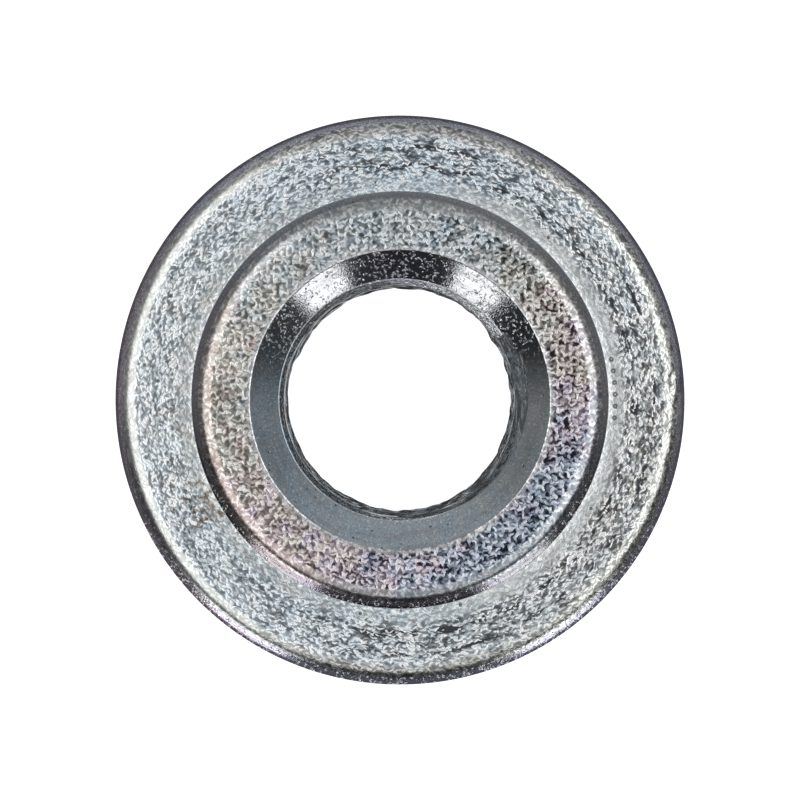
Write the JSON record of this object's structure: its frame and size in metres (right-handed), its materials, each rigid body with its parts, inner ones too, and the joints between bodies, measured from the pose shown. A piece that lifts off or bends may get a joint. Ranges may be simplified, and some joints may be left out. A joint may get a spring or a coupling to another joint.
{
  "type": "hex weld nut",
  "caption": "Hexagon weld nut with a round chamfered flange, a low pilot boss and a countersunk right-hand threaded hole.",
  "frame": {"origin": "centre of the thread axis at the hexagon's end face, which is the lowest face", "axes": "+Z along the thread axis, from the hexagon's end to the weld face and pilot boss; +X through a corner of the hexagon"},
  "size_m": [0.0218, 0.0218, 0.0105],
  "materials": {
    "zinc_plated_steel": "bright zinc plating over a cold-formed blank, with a fine sparkling grain and faint passivation tints"
  },
  "bodies": {
    "root": {"weld_nut": "zinc_plated_steel"}
  },
  "joints": []
}
